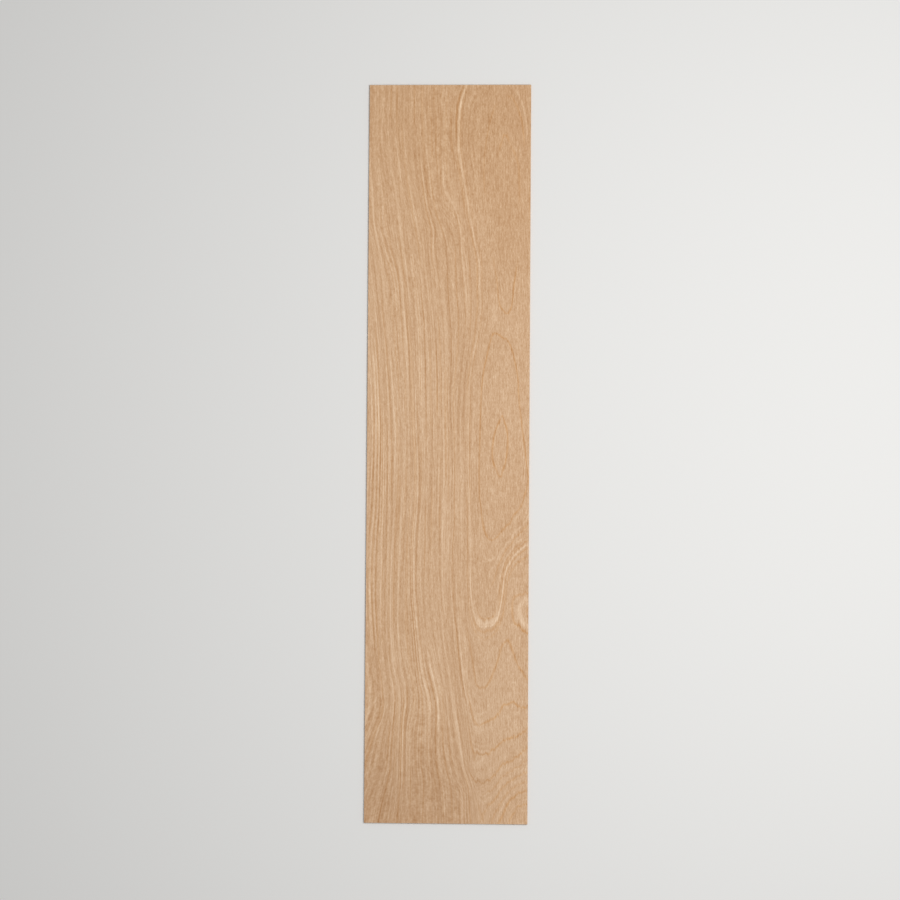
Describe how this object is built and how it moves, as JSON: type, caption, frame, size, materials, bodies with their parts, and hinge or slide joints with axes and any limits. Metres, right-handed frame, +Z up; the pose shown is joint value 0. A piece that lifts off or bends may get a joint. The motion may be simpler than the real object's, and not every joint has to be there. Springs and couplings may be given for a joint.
{
  "type": "plywood sheet",
  "caption": "Thin rectangular plywood sheet: long-grain face and back veneers bonded to a cross-grain core, square sawn edges, flat faces.",
  "frame": {"origin": "centre of the underside, the back veneer's face, on the level floor that the sheet lies on", "axes": "+Y along the sheet's length and the face grain, +X across its width, +Z up out of the show face"},
  "size_m": [0.2, 0.91, 0.003],
  "materials": {
    "birch_face_veneer": "matte",
    "birch_crossband": "matte",
    "birch_back_veneer": "matte"
  },
  "bodies": {
    "root": {"face_veneer": "birch_face_veneer", "crossband_core": "birch_crossband", "back_veneer": "birch_back_veneer"}
  },
  "joints": []
}
